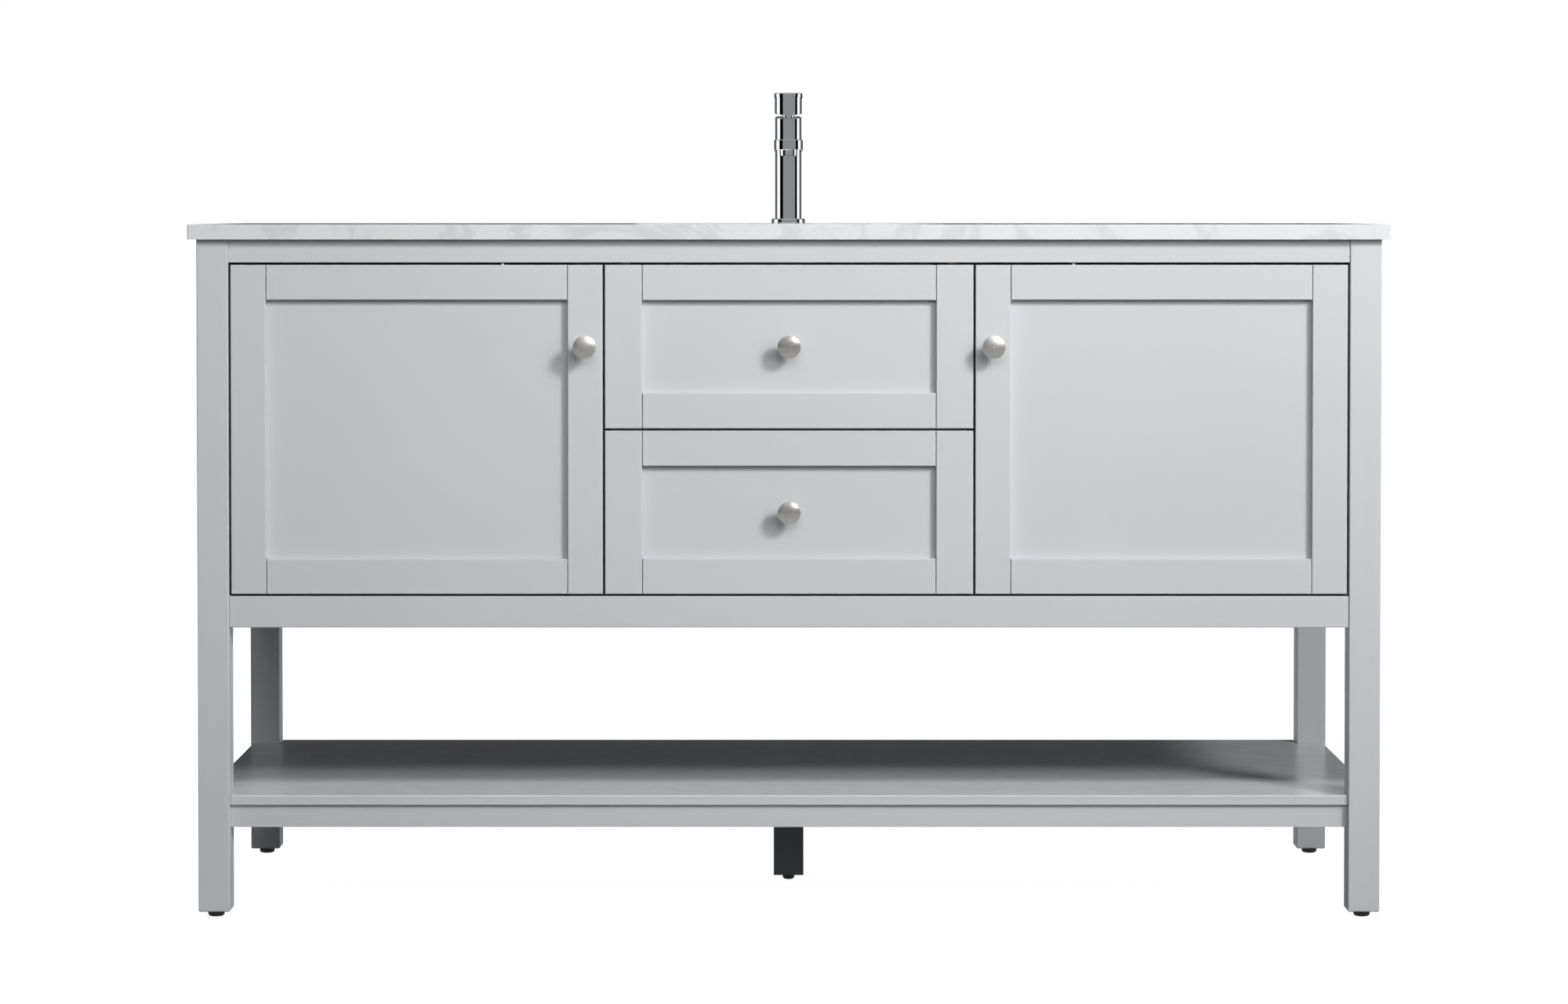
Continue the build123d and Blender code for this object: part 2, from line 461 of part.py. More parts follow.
def build_top():
    half = TOP_WIDTH / 2
    slab = block(-half, half, -TOP_OVERHANG, TOP_DEPTH - TOP_OVERHANG, CABINET_HEIGHT, TOP_Z1)
    slab = fillet(slab.edges().filter_by(Axis.Z), 2.0)
    slab = chamfer(slab.faces().sort_by(Axis.Z)[-1].edges(), 1.2)
    slab -= bowl_prism(0, TOP_Z1, TOP_THICK)
    slab -= rod(TAP_HOLE_R, 0, TAP_Y, CABINET_HEIGHT, TOP_Z1)
    for x, y in TOP_SCREWS:
        slab -= rod(TOP_SCREW_R, x, y, CABINET_HEIGHT, CABINET_HEIGHT + TOP_SCREW_DEEP)
    save("countertop", slab)


def build_basin():
    outer = bowl_prism(BOWL_WALL, CABINET_HEIGHT, CABINET_HEIGHT - BASIN_UNDER, BOWL_TAPER)
    outer = fillet(outer.faces().sort_by(Axis.Z)[0].edges(), 30)
    inner = bowl_prism(0, CABINET_HEIGHT, BOWL_DEPTH, BOWL_TAPER)
    inner = fillet(inner.faces().sort_by(Axis.Z)[0].edges(), 26)
    shape = outer + bowl_prism(BOWL_FLANGE, CABINET_HEIGHT, FLANGE_THICK) - inner
    shape -= rod(DRAIN_R, 0, BOWL_CENTRE_Y, BASIN_UNDER, BASIN_BOTTOM)
    ring_y = OVERFLOW_Y - 7.5
    shape -= rod_y(OVERFLOW_R, 0, ring_y, OVERFLOW_Y, OVERFLOW_Z)
    save("basin", shape)
    ring = rod_y(OVERFLOW_R, 0, ring_y, OVERFLOW_Y, OVERFLOW_Z)
    save("overflow_ring", ring - rod_y(OVERFLOW_R - 2.5, 0, ring_y, OVERFLOW_Y, OVERFLOW_Z))
    reach = BOWL_Y / 2 + BOWL_FLANGE
    save("basin_clips", *basin_clips(BOWL_CENTRE_Y - reach, -1), *basin_clips(BOWL_CENTRE_Y + reach, 1))


def basin_clips(y, out):
    """The pair of cranked clips, with their studs, that hold the basin's flange at y up to the top."""
    z = CABINET_HEIGHT - FLANGE_THICK
    x0, x1 = -CLIP_X - CLIP_HALF, -CLIP_X + CLIP_HALF
    clip = block(x0, x1, *sorted((y - out * 12, y + out * 16)), z - CLIP_SHEET, z)
    clip += block(x0, x1, *sorted((y + out, y + out * (1 + CLIP_SHEET))), z, CABINET_HEIGHT)
    clip += rod(CLIP_STUD_R, -CLIP_X, y + out * 10, z - 7, CABINET_HEIGHT)
    return both_sides(clip)


def hexagon_nut(radius, tall, hole_r, y, z_top):
    """A nut on a vertical thread in the middle plane; radius is to its corners."""
    nut = at(0, y, z_top - tall) * extrude(RegularPolygon(radius, 6), tall)
    return nut - rod(hole_r, 0, y, z_top - tall, z_top)


def build_drain():
    y, bore = BOWL_CENTRE_Y, TAIL_R - TAIL_WALL
    thread_z = BASIN_UNDER - THREAD_TALL
    root = -DRAIN_RIM_TALL
    rim = [(bore, root), (THREAD_R, root), (THREAD_R, 0), (DRAIN_RIM_R, 0), (DRAIN_RIM_R, 1.2)]
    rim += [(DRAIN_RIM_R - 6, DRAIN_RIM_TALL), (bore, 1)]
    flange = turned(rim, 0, y, BASIN_BOTTOM)
    body = rod(THREAD_R, 0, y, thread_z, BASIN_BOTTOM) + rod(TAIL_R, 0, y, TAIL_END_Z, thread_z)
    body = body - rod(bore, 0, y, TAIL_END_Z, BASIN_BOTTOM) + flange
    bar = Pos(0, 0, CROSS_Z) * Box(2 * TAIL_R, CROSS_BAR, CROSS_BAR)
    save("drain_body", body + at(0, y, 0) * (Rot(0, 0, 45) * bar + Rot(0, 0, -45) * bar))
    nut_z = BASIN_UNDER - GASKET
    gasket = rod(GASKET_R, 0, y, nut_z, BASIN_UNDER) - rod(THREAD_R, 0, y, nut_z, BASIN_UNDER)
    nut = hexagon_nut(DRAIN_NUT_R, DRAIN_NUT_TALL, THREAD_R, y, nut_z)
    save("drain_nut_and_gasket", gasket, nut)
    lid = [(0, 3.4), (29, 3.4), (31, 4.4), (31, 5.6), (18, 7.8), (0, 8.6)]
    cap = turned(lid, 0, y, BASIN_BOTTOM)
    prong_x, prong_z = (PRONG_IN + bore - PRONG_CLEARANCE) / 2, BASIN_BOTTOM - PRONG_TALL / 2
    prong = Pos(prong_x, 0, prong_z) * Box(bore - PRONG_CLEARANCE - PRONG_IN, PRONG_WIDE, PRONG_TALL)
    prong += Pos(prong_x, 0, BASIN_BOTTOM + 2) * Box(bore - PRONG_CLEARANCE - PRONG_IN, PRONG_WIDE, 4)
    for quarter in range(4):
        cap += at(0, y, 0) * Rot(0, 0, 90 * quarter) * prong
    save("drain_stopper", cap)


# ---- tap ----------------------------------------------------------------------------------------
def slot_plate(radius, reach, z0, thick):
    """A flat bar from the tap's axis forwards, round at both ends."""
    shape = rod(radius, 0, TAP_Y, z0, z0 + thick) + rod(radius, 0, TAP_Y - reach, z0, z0 + thick)
    return shape + block(-radius, radius, TAP_Y - reach, TAP_Y, z0, z0 + thick)


def cross_pin(radius, x0, x1):
    """A round bar along X, on the axis that the lever tips about."""
    return at((x0 + x1) / 2, TAP_Y, TILT_Z) * Rot(0, 90, 0) * Cylinder(radius, x1 - x0)


def eased(shape, size):
    """Bevels the edges of the top and bottom faces."""
    for end in (0, -1):
        shape = chamfer(shape.faces().sort_by(Axis.Z)[end].edges(), size)
    return shape


def build_tap():
    base = rod(TAP_BASE_R, 0, TAP_Y, TOP_Z1, TOP_Z1 + TAP_BASE_TALL)
    base = chamfer(base.faces().sort_by(Axis.Z)[-1].edges(), 1.2)
    save("faucet_base_ring", base - rod(TAP_R, 0, TAP_Y, TOP_Z1, TOP_Z1 + TAP_BASE_TALL))
    body = rod(TAP_R, 0, TAP_Y, TOP_Z1, TAP_TOP + 5) - sloping_slab(TAP_TOP, TAP_SLOPE, up=True)
    body = chamfer(body.faces().sort_by(Axis.Z)[-1].edges(), 0.8)
    socket_z = TAP_TOP - CARTRIDGE_DEEP
    save("faucet_body", body - rod(CARTRIDGE_R + CARTRIDGE_CLEARANCE, 0, TAP_Y, socket_z, TAP_TOP + 5))
    z = TOP_Z1 + SPOUT_Z
    spout = eased(slot_plate(SPOUT_R, SPOUT_REACH, z, SPOUT_THICK), 0.8)
    spout -= rod(TAP_R, 0, TAP_Y, z, z + SPOUT_THICK)
    outlet_y = TAP_Y - SPOUT_REACH + 4.0
    save("faucet_spout", spout - rod(AERATOR_R, 0, outlet_y, z, z + 4))
    aerator = rod(AERATOR_R, 0, outlet_y, z - AERATOR_PROUD, z + 4)
    save("faucet_aerator", aerator - rod(AERATOR_R - 2.5, 0, outlet_y, z - AERATOR_PROUD, z - 2))
    build_shank()
    build_lever()


def build_shank():
    """What holds the tap down and feeds it: a threaded shank with two hose sockets, a washer and a nut."""
    shank = rod(SHANK_R, 0, TAP_Y, SHANK_END_Z, TOP_Z1)
    for x in (-HOSE_X, HOSE_X):
        shank -= rod(HOSE_R, x, TAP_Y, SHANK_END_Z, SHANK_END_Z + HOSE_DEEP)
    washer_z = CABINET_HEIGHT - WASHER_TALL
    washer = rod(WASHER_R, 0, TAP_Y, washer_z, CABINET_HEIGHT)
    washer -= rod(SHANK_R, 0, TAP_Y, washer_z, CABINET_HEIGHT)
    save("faucet_shank", shank, washer, hexagon_nut(SHANK_NUT_R, SHANK_NUT_TALL, SHANK_R, TAP_Y, washer_z))


def sloping_slab(z, slope, up):
    """A cutter over, or under, a plane that crosses the tap's axis at z and rises to the rear."""
    return at(0, TAP_Y, z) * Rot(slope, 0, 0) * Pos(0, 0, 25 if up else -25) * Box(90, 90, 50)


def build_lever():
    """The cartridge neck, which turns, with the pin across it, and the lever that tips about the pin."""
    disc = rod(CARTRIDGE_R, 0, TAP_Y, TAP_TOP - CARTRIDGE_DEEP + 0.2, TAP_TOP - 2.5)
    neck = rod(TAP_NECK_R, 0, TAP_Y, TAP_TOP - 2.5, TAP_TOP + TAP_GAP / 2)
    ear = block(-4, 4, TAP_Y - 5, TAP_Y + 5, TAP_TOP, TILT_Z + 5)
    pin = cross_pin(TILT_PIN_R, -TILT_PIN_HALF, TILT_PIN_HALF)
    save("faucet_cartridge", disc + neck + ear + pin)
    cap = rod(TAP_CAP_R, 0, TAP_Y, CAP_Z - 5, CAP_Z + TAP_CAP_TALL) - sloping_slab(CAP_Z, TAP_SLOPE, up=False)
    cap = chamfer(cap.faces().sort_by(Axis.Z)[0].edges(), 0.8)
    blade = slot_plate(BLADE_R, LEVER_REACH, CAP_Z + TAP_CAP_TALL, LEVER_THICK)
    blade = chamfer(blade.faces().sort_by(Axis.Z)[-1].edges(), 1.0)
    ear_slot = block(-4.3, 4.3, TAP_Y - 8.5, TAP_Y + 8.5, CAP_Z - 5, TILT_Z + 8.5)
    pin_hole = cross_pin(TILT_PIN_R + CARTRIDGE_CLEARANCE, -TILT_PIN_HALF - 0.2, TILT_PIN_HALF + 0.2)
    rear_cut = sloping_slab(CAP_Z, TAP_SLOPE + TILT, up=False)
    rear_cut -= block(-50, 50, 0, TAP_Y, CAP_Z - 60, CAP_Z + 60)
    save("faucet_lever", cap + blade - ear_slot - pin_hole - rear_cut)


def main():
    os.makedirs("parts", exist_ok=True)
    build_legs()
    build_feet()
    build_rails()
    build_carcass()
    build_shelf()
    build_doors()
    build_hinges()
    build_slides()
    build_drawers()
    build_top()
    build_basin()
    build_drain()
    build_tap()


main()
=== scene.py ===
"""The look of the bathroom vanity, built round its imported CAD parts.

Metres, +X right, +Y to the wall, +Z up. Places are worked out from the CAD nodes' own boxes.
"""

import math

import bmesh
import bpy
from mathutils import Matrix, Vector


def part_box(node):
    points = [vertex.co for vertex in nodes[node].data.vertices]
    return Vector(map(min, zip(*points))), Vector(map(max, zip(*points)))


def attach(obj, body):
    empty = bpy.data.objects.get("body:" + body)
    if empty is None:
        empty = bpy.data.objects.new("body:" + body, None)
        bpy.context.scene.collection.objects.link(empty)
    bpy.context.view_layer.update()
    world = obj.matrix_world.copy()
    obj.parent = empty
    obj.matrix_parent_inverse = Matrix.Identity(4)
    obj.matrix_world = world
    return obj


MM = 0.001
GREY = (0.55, 0.556, 0.578)  # the cabinet's paint
SIDES = ("left", "right")
DRAWERS = ("upper", "lower")
FLANGE_HALF = 28 * MM  # half the height of a hinge cup's flange
RIGHT, LEFT, TO_WALL = (1, 0, 0), (-1, 0, 0), (0, 1, 0)

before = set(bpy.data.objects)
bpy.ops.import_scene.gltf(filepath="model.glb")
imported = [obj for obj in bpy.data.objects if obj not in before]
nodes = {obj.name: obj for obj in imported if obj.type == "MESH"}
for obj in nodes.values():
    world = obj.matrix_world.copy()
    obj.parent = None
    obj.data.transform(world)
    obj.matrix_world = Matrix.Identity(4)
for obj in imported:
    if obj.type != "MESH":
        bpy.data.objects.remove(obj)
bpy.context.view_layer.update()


# ---- camera, lights and floor --------------------------------------------------------------------
def make_camera():
    tilt = 1.463  # degrees below level
    data = bpy.data.cameras.new("camera")
    data.lens = 91.6
    data.shift_x, data.shift_y = 0.0025, -0.12
    camera = bpy.data.objects.new("camera", data)
    camera.location = (-0.0114, -5.3225, 0.899)
    camera.rotation_euler = (math.radians(90 - tilt), 0, 0)
    bpy.context.scene.collection.objects.link(camera)
    bpy.context.scene.camera = camera


def area_light(name, place, target, size, power, spread=180, reflected=True, linked=(), state="EXCLUDE"):
    """A soft box. A spread under 180 degrees acts as a honeycomb grid, which dims what is far from the
    target. The light leaves out the linked nodes, or with the state INCLUDE it lights only them."""
    data = bpy.data.lights.new(name, "AREA")
    data.shape = "RECTANGLE"
    data.size, data.size_y = size
    data.energy = power
    data.spread = math.radians(spread)
    light = bpy.data.objects.new(name, data)
    light.location = place
    light.rotation_euler = (Vector(target) - Vector(place)).to_track_quat("-Z", "Y").to_euler()
    light.visible_glossy = reflected
    bpy.context.scene.collection.objects.link(light)
    if linked:
        receivers = bpy.data.collections.new(f"{name}_receivers")
        for node in linked:
            receivers.objects.link(nodes[node])
        light.light_linking.receiver_collection = receivers
        for entry in receivers.collection_objects:
            entry.light_linking.link_state = state


def make_lights():
    """The shelf has a light of its own, and only the key light reaches it besides."""
    shelf = ("lower_shelf",)
    shelf_and_leg = ("lower_shelf", "leg_back_right")
    area_light("key", (3.5, -3.9, 3.7), (0.4, -0.26, 1.25), (1.3, 1.1), 23, spread=50)
    area_light("fill", (3.9, -4.1, 1.9), (0.4, -0.26, 1.4), (2.6, 1.8), 7, spread=50, reflected=False,
               linked=shelf_and_leg)
    area_light("front", (0.5, -3.6, 2.6), (0.2, -0.26, 1.2), (3.6, 1.8), 12.5, spread=60, reflected=False,
               linked=shelf_and_leg)
    area_light("shelf", (0.1, -1.8, 2.75), (0.0, -0.25, 0.2), (1.8, 0.5), 66, reflected=False,
               linked=shelf, state="INCLUDE")
    area_light("behind", (0.0, 4.2, 2.4), (0.0, 0.3, 0.6), (3.0, 1.4), 130, reflected=False, linked=shelf)


def make_world():
    """The studio round the object, by horizontal angle: grey in front and dim to the wall, with a dark
    flag, a pale band and a low bright strip at each side. Reflections see a brighter ceiling, and matt
    surfaces get a dimmer room. The camera sees plain white."""
    world = Nodes(bpy.data.worlds.new("studio"))
    bpy.context.scene.world = world.owner
    background = world.tree.nodes["Background"]
    background.inputs["Strength"].default_value = 0.34
    split = world.add("ShaderNodeSeparateXYZ")
    world.join(world.add("ShaderNodeTexCoord").outputs["Generated"], split.inputs[0])
    angle = world.maths("ARCTAN2", split.outputs["X"], split.outputs["Y"])
    turn = world.maths("MULTIPLY_ADD", angle, 0.5 / math.pi, 0.5)  # 0 and 1 in front, 0.5 at the wall
    front, flag, band, side, wall = 0.82, 0.0, 0.75, 0.42, 0.04
    strip_half_height, strip_glow = 0.13, 2.6
    ceiling_seen, ceiling_mirrored, matt_loss = 0.4, 0.1, 0.45
    room = world.ramp(turn, [
        (0.0, front), (0.126, front), (0.134, flag), (0.212, flag), (0.218, band), (0.32, band),
        (0.35, side), (0.44, wall), (0.56, wall), (0.65, side), (0.68, band), (0.769, band),
        (0.775, flag), (0.828, flag), (0.834, front), (1.0, front),
    ])
    strips = world.ramp(turn, [
        (0.218, 0.0), (0.226, 1.0), (0.31, 1.0), (0.32, 0.0),
        (0.68, 0.0), (0.69, 1.0), (0.76, 1.0), (0.769, 0.0),
    ])
    low = world.maths("LESS_THAN", world.maths("ABSOLUTE", split.outputs["Z"]), strip_half_height)
    glow = world.maths("MULTIPLY", world.maths("MULTIPLY", strips, low), strip_glow)
    ceiling = world.ramp(split.outputs["Z"], [(0.15, 0.0), (0.60, 1.0)])
    paths = world.add("ShaderNodeLightPath")
    glossy, diffuse = paths.outputs["Is Glossy Ray"], paths.outputs["Is Diffuse Ray"]
    share = world.maths("MULTIPLY_ADD", glossy, ceiling_mirrored, ceiling_seen)
    level = world.maths("ADD", world.maths("ADD", room, glow), world.maths("MULTIPLY", ceiling, share))
    level = world.maths("MULTIPLY", level, world.maths("MULTIPLY_ADD", diffuse, -matt_loss, 1.0))
    tint = world.add("ShaderNodeCombineColor")
    for channel in ("Red", "Green", "Blue"):
        world.join(level, tint.inputs[channel])
    world.join(tint.outputs[0], background.inputs["Color"])
    plain = world.add("ShaderNodeBackground")
    plain.inputs["Color"].default_value = (1, 1, 1, 1)
    world.seen_by_camera(background.outputs[0], plain.outputs[0], "World Output")


def make_floor():
    """A pale paper floor. The camera sees it brighter than the light that it gives back, and mirrors see
    it a little brighter too."""
    camera_glow, mirror_glow = 0.97, 0.3
    mesh = bpy.data.meshes.new("floor")
    shape = bmesh.new()
    bmesh.ops.create_circle(shape, cap_ends=True, segments=96, radius=9.0)
    shape.to_mesh(mesh)
    floor = bpy.data.objects.new("floor", mesh)
    bpy.context.scene.collection.objects.link(floor)
    paper = Shader("floor_paper", (0.2, 0.2, 0.2), 0.9)
    paper.colour(paper.ramp(paper.noise(3.0, detail=2), [(0.3, 0.19), (0.7, 0.21)]))
    glow = paper.add("ShaderNodeEmission")
    glow.inputs["Strength"].default_value = camera_glow
    lit = paper.add("ShaderNodeAddShader")
    paper.join(paper.bsdf.outputs[0], lit.inputs[0])
    paper.join(glow.outputs[0], lit.inputs[1])
    mirrored = paper.add("ShaderNodeEmission")
    glossy = paper.add("ShaderNodeLightPath").outputs["Is Glossy Ray"]
    paper.join(paper.maths("MULTIPLY", glossy, mirror_glow), mirrored.inputs["Strength"])
    usual = paper.add("ShaderNodeAddShader")
    paper.join(paper.bsdf.outputs[0], usual.inputs[0])
    paper.join(mirrored.outputs[0], usual.inputs[1])
    paper.seen_by_camera(usual.outputs[0], lit.outputs[0], "Material Output")
    mesh.materials.append(paper.material)


# ---- materials -----------------------------------------------------------------------------------
class Nodes:
    """A node tree under construction."""

    def __init__(self, owner):
        self.owner = owner
        owner.use_nodes = True
        self.tree = owner.node_tree

    def add(self, kind, **settings):
        node = self.tree.nodes.new(kind)
        for key, value in settings.items():
            setattr(node, key, value)
        return node

    def join(self, output, socket):
        self.tree.links.new(output, socket)

    def maths(self, operation, *values):
        """One step of arithmetic on outputs and plain numbers."""
        node = self.add("ShaderNodeMath", operation=operation)
        for socket, value in zip(node.inputs, values):
            if hasattr(value, "is_linked"):
                self.join(value, socket)
            else:
                socket.default_value = value
        return node.outputs[0]

    def ramp(self, value, stops):
        """A colour ramp; each stop is (place, colour or grey level)."""
        node = self.add("ShaderNodeValToRGB")
        elements = node.color_ramp.elements
        while len(elements) < len(stops):
            elements.new(1.0)
        for element, (place, colour) in zip(elements, stops):
            element.position = place
            element.color = (*colour, 1) if hasattr(colour, "__len__") else (colour, colour, colour, 1)
        self.join(value, node.inputs[0])
        return node.outputs[0]

    def seen_by_camera(self, usual, to_camera, output):
        """Shows the camera one thing, and every other ray another."""
        mix = self.add("ShaderNodeMixShader")
        self.join(self.add("ShaderNodeLightPath").outputs["Is Camera Ray"], mix.inputs[0])
        self.join(usual, mix.inputs[1])
        self.join(to_camera, mix.inputs[2])
        self.join(mix.outputs[0], self.tree.nodes[output].inputs["Surface"])


class Shader(Nodes):
    """A surface material. Textures use the row frame's own coordinates, in metres."""

    def __init__(self, name, base, rough, metal=0.0, **sockets):
        super().__init__(bpy.data.materials.new(name))
        self.material = self.owner
        self.bsdf = self.tree.nodes["Principled BSDF"]
        self.bsdf.inputs["Base Color"].default_value = (*base, 1)
        self.bsdf.inputs["Roughness"].default_value = rough
        self.bsdf.inputs["Metallic"].default_value = metal
        for socket, value in sockets.items():
            self.bsdf.inputs[socket.replace("_", " ").title()].default_value = value
        self.coords = self.add("ShaderNodeTexCoord").outputs["Object"]
        self.normal = None

    def placed(self, stretch, centre=(0, 0, 0)):
        """The coordinates, taken from centre and scaled along each axis."""
        node = self.add("ShaderNodeMapping", vector_type="POINT")
        node.inputs["Scale"].default_value = stretch
        node.inputs["Location"].default_value = [-c * s for c, s in zip(centre, stretch)]
        self.join(self.coords, node.inputs["Vector"])
        return node.outputs[0]

    def noise(self, scale, detail, rough=0.5, distortion=0.0, where=None):
        node = self.add("ShaderNodeTexNoise")
        node.inputs["Scale"].default_value = scale
        node.inputs["Detail"].default_value = detail
        node.inputs["Roughness"].default_value = rough
        node.inputs["Distortion"].default_value = distortion
        self.join(where or self.coords, node.inputs["Vector"])
        return node.outputs["Fac"]

    def specks(self, scale):
        node = self.add("ShaderNodeTexVoronoi")
        node.inputs["Scale"].default_value = scale
        self.join(self.coords, node.inputs["Vector"])
        return node.outputs["Distance"]

    def rings(self, scale, distortion, detail, where):
        """Fine rings round an axis along Y."""
        node = self.add("ShaderNodeTexWave", wave_type="RINGS", wave_profile="SIN", rings_direction="Y")
        node.inputs["Scale"].default_value = scale
        node.inputs["Distortion"].default_value = distortion
        node.inputs["Detail"].default_value = detail
        self.join(where, node.inputs["Vector"])
        return node.outputs["Fac"]

    def spread(self, value, low, high):
        """A 0 to 1 value, stretched to run from low to high."""
        node = self.add("ShaderNodeMapRange")
        node.inputs["To Min"].default_value = low
        node.inputs["To Max"].default_value = high
        self.join(value, node.inputs["Value"])
        return node.outputs[0]

    def blend(self, first, second, factor, how="MIX"):
        """One colour laid over another by the factor, which is an output or a plain number."""
        colour_a, colour_b, colour_result = 6, 7, 2  # which of the node's sockets are for colours
        node = self.add("ShaderNodeMix", data_type="RGBA", blend_type=how)
        if hasattr(factor, "is_linked"):
            self.join(factor, node.inputs[0])
        else:
            node.inputs[0].default_value = factor
        self.join(first, node.inputs[colour_a])
        self.join(second, node.inputs[colour_b])
        return node.outputs[colour_result]

    def colour(self, output):
        self.join(output, self.bsdf.inputs["Base Color"])

    def rough(self, output):
        self.join(output, self.bsdf.inputs["Roughness"])

    def bump(self, height, depth):
        """Relief of that depth in metres, laid over any earlier relief."""
        node = self.add("ShaderNodeBump")
        node.inputs["Strength"].default_value = 1.0
        node.inputs["Distance"].default_value = depth
        self.join(height, node.inputs["Height"])
        if self.normal:
            self.join(self.normal, node.inputs["Normal"])
        self.normal = node.outputs[0]
        self.join(self.normal, self.bsdf.inputs["Normal"])


def sprayed_paint(name, base, rough, peel=0.014 * MM):
    """Sprayed lacquer on wood: slight orange peel, a little dust, and a very faint drift in tone."""
    paint = Shader(name, base, rough)
    light = [c * 1.02 for c in base]
    dark = [c * 0.97 for c in base]
    paint.colour(paint.ramp(paint.noise(2.2, detail=5), [(0.3, dark), (0.7, light)]))
    paint.rough(paint.spread(paint.noise(35, detail=6), rough - 0.05, rough + 0.07))
    paint.bump(paint.noise(240, detail=1, rough=0.4), peel)
    return paint.material


def birch(name, painted):
    """Clear lacquered birch ply with fine pores. The grain runs along Y, or up the boards that face along
    Y. The underside and the back are painted, and the partitions' front edges carry a near-black band of
    painted shade for the gaps in front of them."""
    wood = Shader(name, (0.72, 0.66, 0.55), 0.42)
    normal = wood.add("ShaderNodeSeparateXYZ")
    wood.join(wood.add("ShaderNodeTexCoord").outputs["Normal"], normal.inputs[0])
    upright = wood.maths("GREATER_THAN", wood.maths("ABSOLUTE", normal.outputs["Y"]), 0.7)
    along_y, along_z = wood.placed(stretch=(1.0, 0.06, 1.0)), wood.placed(stretch=(1.0, 1.0, 0.06))
    along = wood.blend(along_y, along_z, upright)
    grain = wood.noise(60, detail=8, rough=0.62, distortion=0.8, where=along)
    figure = wood.noise(7, detail=4, rough=0.55, distortion=1.6, where=along)
    brown, tan, straw = (0.50, 0.37, 0.22), (0.66, 0.53, 0.36), (0.76, 0.64, 0.46)
    tone = wood.ramp(grain, [(0.25, brown), (0.5, tan), (0.8, straw)])
    broad = wood.ramp(figure, [(0.3, (0.86, 0.80, 0.72)), (0.7, (1.0, 1.0, 1.0))])
    bare = wood.blend(tone, broad, 0.8, "MULTIPLY")
    split = wood.add("ShaderNodeSeparateXYZ")
    wood.join(wood.coords, split.inputs[0])
    skin, band = 0.3 * MM, 2 * MM
    under = wood.maths("LESS_THAN", split.outputs["Z"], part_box("cabinet_floor")[0].z + skin)
    front = wood.maths("LESS_THAN", split.outputs["Y"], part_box("partitions")[0].y + band + skin)
    rear = wood.maths("GREATER_THAN", split.outputs["Y"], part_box("back_panels")[1].y - skin)
    paint = wood.ramp(wood.noise(2.2, detail=5), [(0.3, [c * 0.97 for c in painted]), (0.7, painted)])
    # The partitions' front edges sit just behind the gaps between the fronts; their near-black band is
    # painted shade for those deep gaps.
    dark, darkest = [c * 0.14 for c in painted], [c * 0.1 for c in painted]
    gap_painted_shade = wood.ramp(wood.noise(30, detail=5), [(0.3, darkest), (0.7, dark)])
    skinned = wood.blend(bare, paint, wood.maths("MAXIMUM", under, rear))
    wood.colour(wood.blend(skinned, gap_painted_shade, front))
    pores = wood.noise(900, detail=3, rough=0.7, where=along)
    wood.rough(wood.spread(pores, 0.36, 0.55))
    wood.bump(pores, 0.05 * MM)
    return wood.material


def marble():
    """Polished engineered stone: white, with faint cloudy grey veins and a fine crystalline speckle."""
    stone = Shader("polished_stone", (0.69, 0.695, 0.705), 0.14, coat_weight=0.3, coat_roughness=0.05)
    white, vein = (0.70, 0.703, 0.712), (0.612, 0.621, 0.635)
    warp = stone.noise(2.4, detail=9, rough=0.62, distortion=1.3)
    veins = stone.ramp(warp, [(0.470, white), (0.494, vein), (0.502, vein), (0.535, white)])
    cloud = stone.ramp(stone.noise(5.0, detail=6, distortion=0.7), [(0.35, 0.95), (0.7, 1.0)])
    speckle = stone.ramp(stone.specks(900), [(0.1, 0.93), (0.35, 1.0)])
    clouded = stone.blend(veins, cloud, 1.0, "MULTIPLY")
    stone.colour(stone.blend(clouded, speckle, 0.6, "MULTIPLY"))
    stone.rough(stone.spread(stone.noise(400, detail=2), 0.10, 0.19))
    stone.bump(stone.noise(60, detail=2), 0.02 * MM)
    return stone.material


def glaze():
    """Vitreous china: a thick clear glaze that pools slightly over the white body."""
    china = Shader("china_glaze", (0.80, 0.80, 0.79), 0.07, coat_weight=0.6, coat_roughness=0.03)
    thin, pooled = (0.78, 0.78, 0.77), (0.82, 0.82, 0.812)
    china.colour(china.ramp(china.noise(12, detail=3), [(0.35, thin), (0.7, pooled)]))
    china.rough(china.spread(china.noise(90, detail=3), 0.04, 0.10))
    china.bump(china.noise(22, detail=1), 0.25 * MM)
    return china.material


def chrome():
    """Bright plating: nearly a mirror, with faint polishing marks and water-spot dullness."""
    plate = Shader("bright_chrome", (0.86, 0.87, 0.89), 0.05, metal=1.0)
    dull, bright = (0.84, 0.85, 0.87), (0.89, 0.90, 0.91)
    plate.colour(plate.ramp(plate.noise(40, detail=2), [(0.3, dull), (0.7, bright)]))
    marks = plate.noise(700, detail=3, where=plate.placed(stretch=(1, 1, 0.15)))
    plate.rough(plate.spread(marks, 0.015, 0.045))
    plate.bump(plate.noise(18, detail=1), 0.02 * MM)
    return plate.material


def brushed(name, base, rough, stretch):
    """Metal with fine parallel brushing, drawn out along the axis with the smallest stretch."""
    fine, relief = 2600, 0.01 * MM
    metal = Shader(name, base, rough, metal=1.0)
    lines = metal.noise(fine, detail=2, rough=0.6, where=metal.placed(stretch=stretch))
    dark = [c * 0.86 for c in base]
    metal.colour(metal.ramp(lines, [(0.3, dark), (0.7, base)]))
    metal.rough(metal.spread(lines, rough - 0.07, rough + 0.10))
    metal.bump(lines, relief)
    metal.bump(metal.noise(120, detail=3), relief)
    return metal.material


